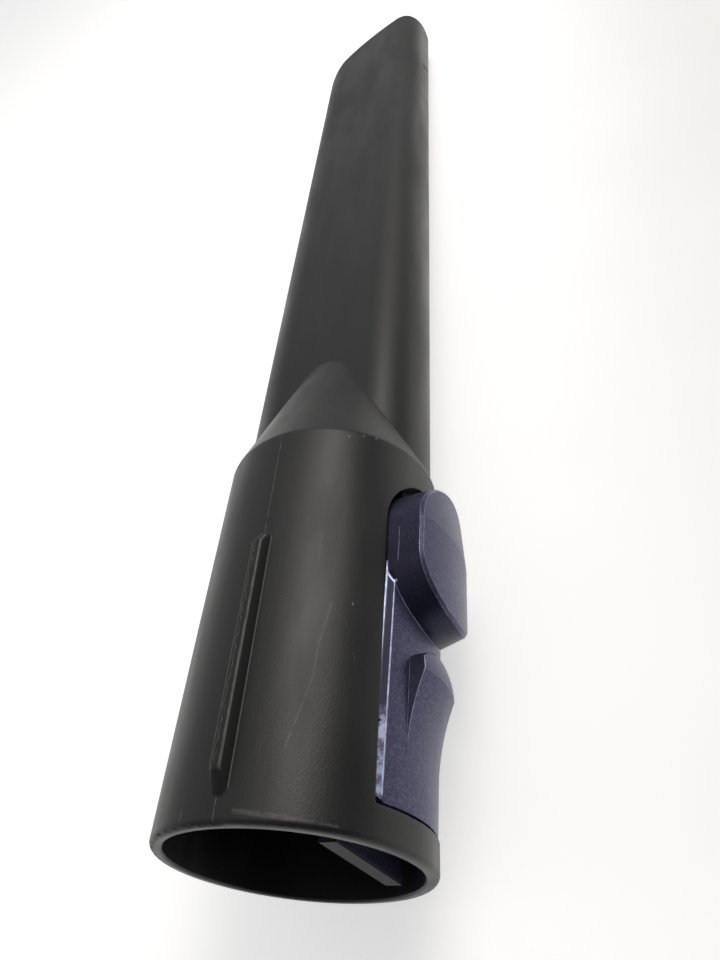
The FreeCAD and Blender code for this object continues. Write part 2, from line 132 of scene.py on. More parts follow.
def add_node(
    tree: bpy.types.NodeTree, kind: Kind, inputs: dict[Any, Any] | None = None, **settings: Any
) -> bpy.types.Node:
    """Add one node, set its options and fill its sockets.

    Args:
        tree: node tree that gets the node.
        kind: which node.
        inputs: socket name or number, with a plain value, a socket, or a node whose first
            output is linked.
        settings: options of the node.

    Returns:
        The new node.
    """
    node = tree.nodes.new(kind.value)
    for name, value in settings.items():
        setattr(node, name, value)
    for socket, value in (inputs or {}).items():
        source = value.outputs[0] if isinstance(value, bpy.types.Node) else value
        if isinstance(source, bpy.types.NodeSocket):
            tree.links.new(source, node.inputs[socket])
        else:
            node.inputs[socket].default_value = source
    return node


def deselect_all() -> None:
    """Leave edit mode if it is on and deselect every object."""
    if bpy.context.object and bpy.context.object.mode != "OBJECT":
        bpy.ops.object.mode_set(mode="OBJECT")
    bpy.ops.object.select_all(action="DESELECT")


@dataclass(frozen=True)
class Band:
    """Range of a number, with soft edges outside it.

    Attributes:
        low: lower limit.
        high: upper limit.
        soft: width of each soft edge.
    """

    low: float
    high: float
    soft: float


@dataclass(frozen=True)
class Pattern:
    """Soft patches of a real size.

    Attributes:
        size: size of a patch in millimetres.
        contrast: how sharply a patch ends.
        stretch: how much longer a patch is along each axis.
    """

    size: float
    contrast: Contrast
    stretch: Point = (1.0, 1.0, 1.0)


@dataclass(frozen=True)
class Mark:
    """Scratch along a run of points, in millimetres.

    Attributes:
        path: points that it passes.
        width: full width.
        strength: how much of its colour shows, from zero to one.
    """

    path: tuple[Point, ...]
    width: float
    strength: float


@dataclass
class Surface:
    """Node tree of one material, with places measured in millimetres.

    Attributes:
        name: name of the material.
        material: the material.
        tree: its node tree.
        shader: its shader.
        place: place on the piece in millimetres.
        facing: direction that the face looks in.
    """

    name: str
    material: bpy.types.Material = field(init=False)
    tree: bpy.types.NodeTree = field(init=False)
    shader: bpy.types.Node = field(init=False)
    place: bpy.types.NodeSocket = field(init=False)
    facing: bpy.types.NodeSocket = field(init=False)

    def __post_init__(self) -> None:
        """Start the material with a shader, an output, the place and the facing."""
        self.material = bpy.data.materials.new(self.name)
        self.material.use_nodes = True
        self.tree = self.material.node_tree
        self.tree.nodes.clear()
        self.shader = add_node(self.tree, Kind.PRINCIPLED)
        add_node(self.tree, Kind.OUTPUT, {"Surface": self.shader})
        coordinates = add_node(self.tree, Kind.COORDINATES)
        inputs = {0: coordinates.outputs["Object"], 1: (1 / MM, 1 / MM, 1 / MM)}
        self.place = add_node(self.tree, Kind.VECTOR, inputs, operation="MULTIPLY").outputs[0]
        self.facing = coordinates.outputs["Normal"]

    def joined(self, operation: str, *values: Any) -> bpy.types.Node:
        """Join several numbers in a chain.

        Args:
            operation: how two neighbours are joined.
            values: numbers, sockets or nodes.

        Returns:
            The last link of the chain.
        """
        total = values[0]
        for value in values[1:]:
            total = add_node(self.tree, Kind.MATH, {0: total, 1: value}, operation=operation)
        return total

    def mask(self, *limits: tuple[Any, Band]) -> bpy.types.Node:
        """Mask where every number lies inside its band.

        Args:
            limits: each number with its band.

        Returns:
            The mask, one inside and zero outside.
        """
        sides = []
        for value, band in limits:
            rising = {0: value, 1: band.low - band.soft, 2: band.low}
            falling = {0: value, 1: band.high, 2: band.high + band.soft, 3: 1.0, 4: 0.0}
            sides.append(add_node(self.tree, Kind.RANGE, rising))
            sides.append(add_node(self.tree, Kind.RANGE, falling))
        return self.joined("MULTIPLY", *sides)

    def patches(self, pattern: Pattern) -> bpy.types.Node:
        """Mask soft patches of a real size.

        Args:
            pattern: size and shape of the patches.

        Returns:
            The mask.
        """
        inputs = {0: self.place, 1: pattern.stretch}
        squeezed = add_node(self.tree, Kind.VECTOR, inputs, operation="DIVIDE")
        inputs = {
            "Vector": squeezed,
            "Scale": 1 / pattern.size,
            "Detail": NOISE_DETAIL,
            "Roughness": NOISE_ROUGHNESS,
        }
        noise = add_node(self.tree, Kind.NOISE, inputs)
        low, high = pattern.contrast.value
        inputs = {0: noise, 1: low, 2: high}
        return add_node(self.tree, Kind.RANGE, inputs, interpolation_type="SMOOTHSTEP")

    def radius(self) -> bpy.types.NodeSocket:
        """Measure the distance from the tool's axis.

        Returns:
            The distance in millimetres.
        """
        inputs = {0: self.place, 1: (1.0, 0.0, 1.0)}
        flat = add_node(self.tree, Kind.VECTOR, inputs, operation="MULTIPLY")
        return add_node(self.tree, Kind.VECTOR, {0: flat}, operation="LENGTH").outputs["Value"]

    def streak(self, start: Point, end: Point, width: float) -> bpy.types.Node:
        """Mask a straight line between two points.

        Args:
            start: one end in millimetres.
            end: other end in millimetres.
            width: full width in millimetres.

        Returns:
            The mask.
        """
        along = Vector(end) - Vector(start)
        offset = add_node(self.tree, Kind.VECTOR, {0: self.place, 1: start}, operation="SUBTRACT")
        inputs = {0: offset, 1: tuple(along / along.length_squared)}
        reach = add_node(self.tree, Kind.VECTOR, inputs, operation="DOT_PRODUCT").outputs["Value"]
        share = add_node(self.tree, Kind.CLAMP, {"Value": reach})
        inputs = {0: tuple(along), "Scale": share}
        spot = add_node(self.tree, Kind.VECTOR, inputs, operation="SCALE")
        inputs = {0: offset, 1: spot}
        away = add_node(self.tree, Kind.VECTOR, inputs, operation="DISTANCE").outputs["Value"]
        return add_node(self.tree, Kind.RANGE, {0: away, 1: 0.0, 2: width / 2, 3: 1.0, 4: 0.0})

    def marks(self, marks: tuple[Mark, ...]) -> bpy.types.Node:
        """Mask a set of scratches, each at its own strength.

        Args:
            marks: the scratches.

        Returns:
            The mask.
        """
        masks = []
        for mark in marks:
            ends = zip(mark.path, mark.path[1:])
            lines = [self.streak(start, end, mark.width) for start, end in ends]
            masks.append(self.joined("MULTIPLY", self.joined("MAXIMUM", *lines), mark.strength))
        return self.joined("MAXIMUM", *masks)

    def relief(self, height: Any, depth_mm: float, edge_mm: float) -> bpy.types.Node:
        """Turn a height into a surface direction, over softly broken edges.

        Args:
            height: height between zero and one.
            depth_mm: real height of one.
            edge_mm: radius that sharp edges seem to have.

        Returns:
            The direction.
        """
        inputs = {"Radius": edge_mm * MM}
        edges = add_node(self.tree, Kind.BEVEL, inputs, samples=RELIEF_SAMPLES)
        inputs = {"Height": height, "Distance": depth_mm * MM, "Strength": 1.0, "Normal": edges}
        return add_node(self.tree, Kind.BUMP, inputs)

    def sharp_edges(self, reach_mm: float) -> bpy.types.Node:
        """Mask the edges where two faces meet at an angle.

        Args:
            reach_mm: how far the mask reaches from the edge.

        Returns:
            The mask.
        """
        inputs = {"Radius": reach_mm * MM}
        rounded = add_node(self.tree, Kind.BEVEL, inputs, samples=EDGE_SAMPLES)
        inputs = {0: rounded, 1: add_node(self.tree, Kind.GEOMETRY).outputs["Normal"]}
        turn = add_node(self.tree, Kind.VECTOR, inputs, operation="DOT_PRODUCT").outputs["Value"]
        inputs = {0: turn, 1: EDGE_TURN[0], 2: EDGE_TURN[1], 3: 0.0, 4: 1.0}
        return add_node(self.tree, Kind.RANGE, inputs)

    def layered(self, under: str, *layers: tuple[Any, str]) -> bpy.types.NodeSocket:
        """Lay colours over each other.

        Args:
            under: lowest colour.
            layers: mask and colour of each layer above it.

        Returns:
            The mixed colour.
        """
        colour: Any = linear(under)
        for mask, over in layers:
            inputs = {0: mask, 6: colour, 7: linear(over)}
            colour = add_node(self.tree, Kind.MIX, inputs, data_type="RGBA").outputs[2]
        return colour

    def finish(self, links: dict[str, Any], values: dict[str, float]) -> bpy.types.Material:
        """Fill the shader's sockets.

        Args:
            links: socket name and the node or socket that feeds it.
            values: socket name and its plain value.

        Returns:
            The finished material.
        """
        for name, source in links.items():
            socket = source.outputs[0] if isinstance(source, bpy.types.Node) else source
            self.tree.links.new(socket, self.shader.inputs[name])
        for name, value in values.items():
            self.shader.inputs[name].default_value = value
        return self.material


@dataclass(frozen=True)
class RibPaintedLight:
    """Painted highlights on the rib's edges and foot, a pale band on its flash, and painted shade
    on its right wall, nose, top and beside its seam.

    Bands are in millimetres: x towards the latch, y along the tool, z up, r out from the axis.
    """

    raised_r: Band = Band(19.4, FAR, 0.1)
    upper_z: Band = Band(0.0, FAR, 0.1)
    # Along the rib, the painted highlights run between these places.
    highlight_y: Band = Band(4.2, 40.8, 0.3)
    # Painted highlights on the left top edge, the crest and the foot.
    left_edge_x: Band = Band(-0.81, -0.65, 0.05)
    crest_x: Band = Band(0.55, 0.77, 0.12)
    foot_x: Band = Band(1.27, 1.37, 0.06)
    jags: Pattern = Pattern(1.4, Contrast.HARD)
    jag_reach: float = 0.25
    flash_x: Band = Band(-0.2, -0.08, 0.06)
    flash_share: float = 0.6
    # Painted shade on the right wall, the nose, the groove beside the seam and the strip on top.
    wall_x: Band = Band(0.85, 5.0, 0.06)
    nose_y: Band = Band(0.0, 5.6, 0.3)
    groove_x: Band = Band(0.0, 0.12, 0.06)
    strip_x: Band = Band(0.1, 0.65, 0.1)
    strip_share: float = 0.5

    def masks(
        self, surface: Surface, axes: Any, radius: bpy.types.NodeSocket
    ) -> tuple[bpy.types.Node, bpy.types.Node]:
        """Mask the painted highlights on the rib and its painted shade.

        Args:
            surface: material that gets the masks.
            axes: outputs with the place along each axis.
            radius: distance from the tool's axis.

        Returns:
            The painted highlight mask and the painted shade mask.
        """
        across, along = axes["X"], axes["Y"]
        raised = surface.mask((radius, self.raised_r))
        jags = surface.joined("MULTIPLY", surface.patches(self.jags), self.jag_reach)
        jagged = surface.joined("ADD", across, jags)
        flash = surface.joined("MULTIPLY", surface.mask((jagged, self.flash_x)), self.flash_share)
        # Painted highlights along the left top edge and the crest.
        edges = (surface.mask((across, self.left_edge_x)), surface.mask((across, self.crest_x)))
        top = surface.joined("MULTIPLY", surface.joined("MAXIMUM", flash, *edges), raised)
        # Painted highlight along the foot.
        foot = surface.mask((across, self.foot_x), (axes["Z"], self.upper_z))
        lines = surface.joined("MAXIMUM", top, foot)
        pale = surface.joined("MULTIPLY", lines, surface.mask((along, self.highlight_y)))

        # Painted shade: the right wall, the nose, the groove beside the seam and the strip on top.
        wall = surface.mask((across, self.wall_x))
        nose = surface.mask((along, self.nose_y))
        groove = surface.mask((jagged, self.groove_x))
        strip = surface.joined("MULTIPLY", surface.mask((jagged, self.strip_x)), self.strip_share)
        parts = surface.joined("MAXIMUM", wall, nose, groove, strip)
        return pale, surface.joined("MULTIPLY", parts, raised)


@dataclass(frozen=True)
class SatinAbs:
    """Black ABS moulded in a finely eroded steel mould: dark, with a soft sheen and scratches.

    Bands are in millimetres: x towards the latch, y along the tool, z up, r out from the axis.
    """

    name: str = "abs_satin_black"
    black: str = "#151516"
    faded: str = "#1b1b1c"
    handled: str = "#2c2b2a"
    # Painted shade deep in the bore.
    inside: str = "#040404"
    # Painted indigo bounce from the latch's tongue onto the bore.
    tongue_bounce: str = "#131127"
    # Pale colour of real scratches, also of painted highlights on the rib and of a pale line on the
    # seam's bead.
    worn_and_highlight: str = "#9a9894"
    # Dark colour of real scuffs, also of painted shade on the rib and a painted shadow beside the
    # seam.
    grime_and_shade: str = "#070608"
    ior: float = 1.53
    roughness: Span = (0.36, 0.5)
    worn_roughness: float = 0.2
    # Mould erosion is about 0.05 mm; it is drawn at 0.3 mm so that it shows.
    grain: Pattern = Pattern(0.3, Contrast.GENTLE)
    grain_share: float = 0.3
    relief_depth: float = 0.03
    edge_radius: float = 0.25
    mottle: Pattern = Pattern(28.0, Contrast.CLEAR)
    handling: Pattern = Pattern(9.0, Contrast.CLEAR, (1.0, 4.0, 1.0))
    handled_share: float = 0.3
    hairlines: Pattern = Pattern(0.5, Contrast.THIN, (1.0, 30.0, 1.0))
    hairline_share: float = 0.05
    broken: Pattern = Pattern(1.1, Contrast.BROKEN)
    socket_y: Band = Band(0.5, 62.9, 0.2)
    top_z: Band = Band(18.2, FAR, 0.2)
    # Painted shadow on the right of the seam's flash.
    seam_x: Band = Band(0.02, 0.14, 0.05)
    seam_share: float = 0.8
    # A pale line on the seam's bead, which is also raised in the bump.
    bead_x: Band = Band(-0.12, 0.0, 0.05)
    bead_share: float = 0.3
    bore_r: Band = Band(-FAR, 17.5, 0.2)
    bore_y: Band = Band(-FAR, 63.1, 0.2)
    tongue_x: Band = Band(12.5, FAR, 1.5)
    tongue_z: Band = Band(-16.0, 4.0, 2.0)
    rib: RibPaintedLight = RibPaintedLight()
    rib_share: float = 0.26
    long_scratch: tuple[Point, ...] = (
        (11.0, 29.4, 15.8), (10.3, 24.9, 16.3), (9.9, 22.3, 16.5),
        (9.8, 18.7, 16.6), (9.1, 15.2, 17.0), (7.6, 9.0, 17.7),
    )
    rim_scuff: tuple[Point, ...] = (
        (2.2, 1.1, 19.1), (4.2, 0.9, 18.8), (6.0, 0.7, 18.3), (8.7, 0.5, 17.2), (13.4, 0.6, 13.8),
    )
    scratches: tuple[Mark, ...] = (
        Mark(long_scratch, 0.36, 0.32),
        Mark(((8.9, 41.1, 17.0), (8.8, 36.6, 17.1)), 0.6, 0.12),
        Mark(((7.8, 23.4, 17.6), (8.6, 23.7, 17.2), (9.4, 23.9, 16.8)), 0.25, 0.08),
        Mark(((13.7, 22.6, 13.5), (13.9, 21.5, 13.3)), 0.25, 0.1),
        Mark(((13.3, 30.0, 13.9), (13.3, 29.8, 13.9)), 0.4, 0.7),
        Mark(((11.1, 61.6, 15.7), (11.2, 61.8, 15.6)), 0.45, 0.7),
        Mark(((13.0, 62.3, 14.2), (13.1, 62.5, 14.1)), 0.45, 0.6),
        Mark(((14.6, 62.7, 12.6), (14.7, 62.9, 12.4)), 0.45, 0.5),
        Mark(((2.6, 1.4, 19.1), (4.2, 1.3, 18.8), (8.7, 1.0, 17.2)), 0.9, 0.26),
        Mark(((8.7, 1.0, 17.2), (13.4, 0.9, 13.8)), 0.6, 0.22),
        Mark(((-5.4, 1.8, 18.5), (-5.5, 1.0, 18.4)), 0.5, 0.2),
    )
    scuffs: tuple[Mark, ...] = (
        Mark(((18.2, 250.6, 3.4), (18.7, 250.9, 1.5), (18.8, 252.3, -0.5)), 1.0, 1.0),
        Mark(((0.7, 3.0, 19.2), (0.6, 1.4, 19.2), (3.3, 1.3, 19.0)), 0.35, 0.7),
        Mark(rim_scuff, 0.45, 0.8),
    )

    def make(self) -> bpy.types.Material:
        """Build the material.

        Returns:
            The finished material.
        """
        surface = Surface(self.name)
        tree = surface.tree
        axes = add_node(tree, Kind.XYZ, {0: surface.place}).outputs
        radius = surface.radius()
        handling = surface.patches(self.handling)
        broken = surface.patches(self.broken)

        on_socket = surface.mask((axes["Y"], self.socket_y))
        on_seam = surface.joined("MULTIPLY", surface.mask((axes["Z"], self.top_z)), on_socket)
        # Painted shadow on the right of the seam's flash.
        seam = surface.mask((axes["X"], self.seam_x))
        seam = surface.joined("MULTIPLY", seam, on_seam, self.seam_share)
        bead = surface.mask((axes["X"], self.bead_x))
        bead = surface.joined("MULTIPLY", bead, on_seam, broken, self.bead_share)
        # Painted highlights and painted shade on the rib.
        rib_highlights, shaded = self.rib.masks(surface, axes, radius)

        scratches = surface.joined("MULTIPLY", surface.marks(self.scratches), broken)
        faint = surface.joined("MULTIPLY", surface.patches(self.hairlines), self.hairline_share)
        rib_highlights = surface.joined("MULTIPLY", rib_highlights, self.rib_share)
        # Real scratches and hairlines, a pale line on the seam's bead and painted highlights on the
        # rib.
        wear_and_painted_light = surface.joined("MAXIMUM", scratches, faint, bead, rib_highlights)
        scuffs = surface.joined("MULTIPLY", surface.marks(self.scuffs), broken)
        # Real scuffs, with painted shade on the rib and a painted shadow beside the seam.
        dirt_and_shade = surface.joined("MAXIMUM", scuffs, shaded, seam)
        # Painted shade deep in the bore, and a painted indigo bounce from the tongue near it.
        in_bore = surface.mask((radius, self.bore_r), (axes["Y"], self.bore_y))
        by_tongue = surface.mask((axes["X"], self.tongue_x), (axes["Z"], self.tongue_z))

        colour = surface.layered(
            self.black,
            (surface.patches(self.mottle), self.faded),
            (surface.joined("MULTIPLY", handling, on_socket, self.handled_share), self.handled),
            (wear_and_painted_light, self.worn_and_highlight),
            (dirt_and_shade, self.grime_and_shade),
            (in_bore, self.inside),
            (surface.joined("MULTIPLY", in_bore, by_tongue), self.tongue_bounce),
        )
        smooth = {0: handling, 3: self.roughness[0], 4: self.roughness[1]}
        rough = surface.joined("MULTIPLY", surface.joined("ADD", wear_and_painted_light, shaded), self.worn_roughness)
        grain = surface.joined("MULTIPLY", surface.patches(self.grain), self.grain_share)
        height = surface.joined("ADD", grain, bead)
        links = {
            "Base Color": colour,
            "Roughness": surface.joined("ADD", add_node(tree, Kind.RANGE, smooth), rough),
            "Normal": surface.relief(height, self.relief_depth, self.edge_radius),
        }
        return surface.finish(links, {"IOR": self.ior})


@dataclass(frozen=True)
class LatchWearAndLight:
    """Painted highlights along the latch's edges, its real scratches and scrapes, and painted shade
    on its walls and chamfer strip.

    Bands are in millimetres: x out of the socket, y along the tool, z to either side, r out from
    the tool's axis. Facing bands are shares of a direction.
    """

    plate_r: Band = Band(17.5, 19.95, 0.1)
    # Painted highlights along both edges of the plate's chamfer.
    inner_line_z: Band = Band(9.12, 9.2267, 0.05)
    inner_line_y: Band = Band(5.7, 36.4, 0.2)
    edge_climb: float = 0.0264
    outer_line_x: Band = Band(15.27, 15.51, 0.05)
    outer_line_y: Band = Band(5.7, 39.0, 0.2)
    outer_line_z: Band = Band(9.7, FAR, 0.05)
    # The chamfer strip: painted shade higher up, real scrapes low down.
    strip_z: Band = Band(9.28, 9.7, 0.05)
    strip_dark_y: Band = Band(17.0, 40.0, 3.0)
    strip_scraped_y: Band = Band(5.0, 14.0, 3.0)
    scrapes: Pattern = Pattern(1.2, Contrast.HARD)
    scraped_share: float = 0.45
    # Painted highlights along the ramp's crest and foot, and painted shade on its side wall.
    ramp_line_y: Band = Band(13.5, 24.6, 0.4)
    ramp_crest_z: Band = Band(5.72, 5.78, 0.01)
    ramp_foot_z: Band = Band(5.82, 5.88, 0.01)
    ramp_wall_facing: Band = Band(0.5, 1.0, 0.1)
    ramp_wall_y: Band = Band(20.6, 24.6, 6.0)
    ramp_wall_z: Band = Band(4.3, 6.0, 0.1)
    ramp_wall_share: float = 0.15
    pad_centre: float = 40.1
    pad_draft: float = 0.364
    pad_base: float = 19.25
    # Painted highlight along the foot of the pad's wall.
    pad_foot_reach: Band = Band(9.96, 10.06, 0.03)
    pad_foot_y: Band = Band(0.0, 39.7, 0.4)
    pad_foot_z: Band = Band(-FAR, 9.75, 0.05)
    # Painted shade on the pad's lower walls.
    pad_wall_facing: Band = Band(-1.0, 0.45, 0.1)
    pad_wall_reach: Band = Band(8.5, FAR, 0.1)
    pad_wall_x: Band = Band(15.35, FAR, 0.5)
    pad_wall_y: Band = Band(24.6, 40.1, 20.0)
    pad_wall_share: float = 0.8
    # Painted highlight along the pad's edge.
    pad_edge_r: Band = Band(21.5, FAR, 0.1)
    pad_edge_z: Band = Band(3.5, FAR, 1.5)
    pad_edge_reach: float = 0.13
    line_breakup: Pattern = Pattern(1.6, Contrast.RUBBED)
    line_least: float = 0.45
    wall_scratch: tuple[Point, ...] = (
        (18.2, 44.9, 9.9), (18.25, 43.0, 9.9), (18.2, 41.0, 9.9), (18.1, 38.8, 9.9),
    )
    scratches: tuple[Mark, ...] = (Mark(wall_scratch, 0.2, 0.5),)

    def pad_reach(self, surface: Surface, axes: Any, side: bpy.types.Node) -> bpy.types.Node:
        """Measure the distance from the centre of the pad's round end, which leans with the draft.

        Args:
            surface: material that gets the measure.
            axes: outputs with the place along each axis.
            side: distance from the latch's middle.

        Returns:
            The distance in millimetres.
        """
        lean = surface.joined("MULTIPLY", axes["X"], self.pad_draft)
        centre = self.pad_centre - self.pad_draft * self.pad_base
        along = surface.joined("SUBTRACT", axes["Y"], lean, centre)
        squares = [surface.joined("MULTIPLY", length, length) for length in (along, side)]
        total = surface.joined("ADD", *squares)
        return add_node(surface.tree, Kind.MATH, {0: total}, operation="SQRT")

    def masks(self, surface: Surface, axes: Any) -> tuple[bpy.types.Node, bpy.types.Node]:
        """Mask the painted highlights, scratches and scrapes on the latch, and its painted shade.

        Args:
            surface: material that gets the masks.
            axes: outputs with the place along each axis.

        Returns:
            The pale mask, of painted highlights with real scratches and scrapes, and the painted
            shade mask.
        """
        tree = surface.tree
        out, along = axes["X"], axes["Y"]
        side = add_node(tree, Kind.MATH, {0: axes["Z"]}, operation="ABSOLUTE")
        radius = surface.radius()
        reach = self.pad_reach(surface, axes, side)
        facing = add_node(tree, Kind.XYZ, {0: surface.facing}).outputs
        on_plate = surface.mask((radius, self.plate_r))

        # Painted highlights along both edges of the plate's chamfer.
        climb = surface.joined("MULTIPLY", along, self.edge_climb)
        edge = surface.joined("SUBTRACT", out, climb)
        outer = surface.mask(
            (edge, self.outer_line_x), (along, self.outer_line_y), (side, self.outer_line_z)
        )
        inner = surface.mask((side, self.inner_line_z), (along, self.inner_line_y))
        border = surface.joined("MULTIPLY", surface.joined("MAXIMUM", inner, outer), on_plate)
        # Painted highlight at the foot of the pad's wall.
        pad_foot = surface.mask(
            (reach, self.pad_foot_reach), (along, self.pad_foot_y), (side, self.pad_foot_z)
        )
        pad_foot = surface.joined("MULTIPLY", pad_foot, on_plate)
        # Painted highlights along the ramp's crest and foot.
        ramp_lines = [surface.mask((side, band)) for band in (self.ramp_crest_z, self.ramp_foot_z)]
        ramp_lines = surface.joined("MAXIMUM", *ramp_lines)
        on_ramp = surface.mask((along, self.ramp_line_y))
        ramp_lines = surface.joined("MULTIPLY", ramp_lines, on_ramp)
        # Painted highlight along the pad's edge.
        pad_edge = surface.mask((radius, self.pad_edge_r), (axes["Z"], self.pad_edge_z))
        pad_edge = surface.joined("MULTIPLY", pad_edge, surface.sharp_edges(self.pad_edge_reach))

        scratches = surface.marks(self.scratches)
        edges = surface.joined("MAXIMUM", border, ramp_lines, pad_foot, pad_edge, scratches)
        inputs = {0: surface.patches(self.line_breakup), 3: self.line_least, 4: 1.0}
        edges = surface.joined("MULTIPLY", edges, add_node(tree, Kind.RANGE, inputs))
        # The chamfer strip: real scrapes low down, painted shade higher up.
        strip = surface.joined("MULTIPLY", surface.mask((side, self.strip_z)), on_plate)
        scraped = surface.joined(
            "MULTIPLY",
            strip,
            surface.mask((along, self.strip_scraped_y)),
            surface.patches(self.scrapes),
            self.scraped_share,
        )

        # Painted shade on the upper chamfer strip, the pad's lower walls and the ramp's side wall.
        strip = surface.joined("MULTIPLY", strip, surface.mask((along, self.strip_dark_y)))
        pad_wall = surface.mask(
            (facing["X"], self.pad_wall_facing),
            (reach, self.pad_wall_reach),
            (along, self.pad_wall_y),
            (out, self.pad_wall_x),
        )
        pad_wall = surface.joined("MULTIPLY", pad_wall, self.pad_wall_share)
        ramp_wall = surface.mask(
            (facing["Z"], self.ramp_wall_facing),
            (along, self.ramp_wall_y),
            (side, self.ramp_wall_z),
        )
        ramp_wall = surface.joined("MULTIPLY", ramp_wall, self.ramp_wall_share)
        pale = surface.joined("MAXIMUM", edges, scraped)
        return pale, surface.joined("MAXIMUM", strip, pad_wall, ramp_wall)


@dataclass(frozen=True)
class FlakeAbs:
    """Indigo ABS with aluminium flake in the melt: dark violet, fine glints, painted edge
    highlights and painted shade.
    """

    name: str = "abs_indigo_flake"
    ground: str = "#42415c"
    flake: str = "#61607d"
    # Pale colour of painted edge highlights and of real scratches and scrapes.
    worn_and_highlight: str = "#b9c1e4"
    # Painted shade on the latch's walls and upper chamfer strip.
    shaded: str = "#16152a"
    # Painted shade on the tongue's end face.
    end_face_shade: str = "#161519"
    ior: float = 1.53
    metallic: float = 0.65
    roughness: Span = (0.33, 0.4)
    end_face_roughness: float = 0.35
    # Flake is about 0.05 mm; it is drawn at 0.2 mm so that it shows.
    flake_size: float = 0.2
    glint_start: float = 0.35
    glint_height: float = 0.4
    cloud: Pattern = Pattern(6.0, Contrast.GENTLE)
    cloud_least: float = 0.6
    ripple: Pattern = Pattern(0.6, Contrast.GENTLE)
    relief_depth: float = 0.005
    edge_radius: float = 0.1
    tongue_end_y: Band = Band(-FAR, 0.6, 0.3)
    wear_and_painted_light: LatchWearAndLight = LatchWearAndLight()

    def make(self) -> bpy.types.Material:
        """Build the material.

        Returns:
            The finished material.
        """
        surface = Surface(self.name)
        tree = surface.tree
        axes = add_node(tree, Kind.XYZ, {0: surface.place}).outputs
        inputs = {"Vector": surface.place, "Scale": 1 / self.flake_size}
        cells = add_node(tree, Kind.CELLS, inputs)
        glint = add_node(tree, Kind.CHANNELS, {0: cells.outputs["Color"]})
        cloud = surface.patches(self.cloud)
        bright = add_node(tree, Kind.RANGE, {0: glint, 1: self.glint_start, 2: 1.0})
        shown = add_node(tree, Kind.RANGE, {0: cloud, 3: self.cloud_least, 4: 1.0})
        sparkle = surface.joined("MULTIPLY", bright, shown)

        pale, dark = self.wear_and_painted_light.masks(surface, axes)
        # Painted shade on the tongue's end face, which is also made rougher and not metallic.
        end_face = surface.mask((axes["Y"], self.tongue_end_y))
        off_end_face = surface.joined("SUBTRACT", 1.0, end_face)
        colour = surface.layered(
            self.ground,
            (sparkle, self.flake),
            (dark, self.shaded),
            (pale, self.worn_and_highlight),
            (end_face, self.end_face_shade),
        )
        smooth = {0: cloud, 3: self.roughness[0], 4: self.roughness[1]}
        rough = surface.joined("MULTIPLY", end_face, self.end_face_roughness)
        glints = surface.joined("MULTIPLY", glint, self.glint_height)
        height = surface.joined("ADD", glints, surface.patches(self.ripple))
        links = {
            "Base Color": colour,
            "Metallic": surface.joined("MULTIPLY", off_end_face, self.metallic),
            "Roughness": surface.joined("ADD", add_node(tree, Kind.RANGE, smooth), rough),
            "Normal": surface.relief(height, self.relief_depth, self.edge_radius),
        }
        return surface.finish(links, {"IOR": self.ior})


@dataclass(frozen=True)
class SpringWire:
    """Drawn carbon-steel spring wire: grey metal with faint draw lines and an oily film."""

    name: str = "steel_spring_wire"
    bright: str = "#a3a4a6"
    dull: str = "#6f7072"
    roughness: Span = (0.26, 0.4)
    # Draw lines are about 0.02 mm apart; they are drawn at 0.12 mm so that they show.
    lines: Pattern = Pattern(0.12, Contrast.CLEAR, (1.0, 6.0, 6.0))
    film: Pattern = Pattern(1.5, Contrast.GENTLE)
    relief_depth: float = 0.004
    edge_radius: float = 0.03

    def make(self) -> bpy.types.Material:
        """Build the material.

        Returns:
            The finished material.
        """
        surface = Surface(self.name)
        lines = surface.patches(self.lines)
        smooth = {0: lines, 3: self.roughness[0], 4: self.roughness[1]}
        links = {
            "Base Color": surface.layered(self.bright, (surface.patches(self.film), self.dull)),
            "Roughness": add_node(surface.tree, Kind.RANGE, smooth),
            "Normal": surface.relief(lines, self.relief_depth, self.edge_radius),
        }
        return surface.finish(links, {"Metallic": 1.0})


@dataclass(frozen=True)
class OpalTable:
    """Opal acrylic sheet, sanded matt and lit from below on the left: pale, with weak shadows."""

    name: str = "acrylic_opal_lit"
    white: str = "#f8f8f8"
    shade: str = "#f3f3f3"
    roughness: float = 0.6
    glow_left: float = 0.55
    glow_right: float = 0.2
    glow_reach: Span = (0.0, 120.0)
    clouds: Pattern = Pattern(40.0, Contrast.GENTLE)
    sanding: Pattern = Pattern(1.2, Contrast.GENTLE)
    relief_depth: float = 0.01
    edge_radius: float = 0.1

    def make(self) -> bpy.types.Material:
        """Build the material.

        Returns:
            The finished material.
        """
        surface = Surface(self.name)
        tree = surface.tree
        across = add_node(tree, Kind.XYZ, {0: surface.place})
        start, end = self.glow_reach
        glow = {0: across, 1: start, 2: end, 3: self.glow_left, 4: self.glow_right}
        sanded = surface.patches(self.sanding)
        links = {
            "Base Color": surface.layered(self.white, (surface.patches(self.clouds), self.shade)),
            "Normal": surface.relief(sanded, self.relief_depth, self.edge_radius),
            "Emission Strength": add_node(tree, Kind.RANGE, glow, interpolation_type="SMOOTHSTEP"),
        }
        return surface.finish(links, {"Roughness": self.roughness})


def dress(node: Node, material: bpy.types.Material) -> bpy.types.Object:
    """Give a CAD node its finish.

    Args:
        node: CAD node to dress.
        material: finish that it gets.

    Returns:
        The node's object.
    """
    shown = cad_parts[node.value]
    shown.data.materials.clear()
    shown.data.materials.append(material)
    return shown


@dataclass
class NozzleMoulding:
    """Socket, cone and flat nozzle, one black moulding."""

    finish: SatinAbs = SatinAbs()

    def build(self) -> bpy.types.Object:
        """Dress the moulding."""
        return dress(Node.NOZZLE, self.finish.make())


@dataclass
class LatchMoulding:
    """Rocking release latch, one indigo moulding."""

    finish: FlakeAbs = FlakeAbs()

    def build(self) -> bpy.types.Object:
        """Dress the moulding."""
        return dress(Node.LATCH, self.finish.make())


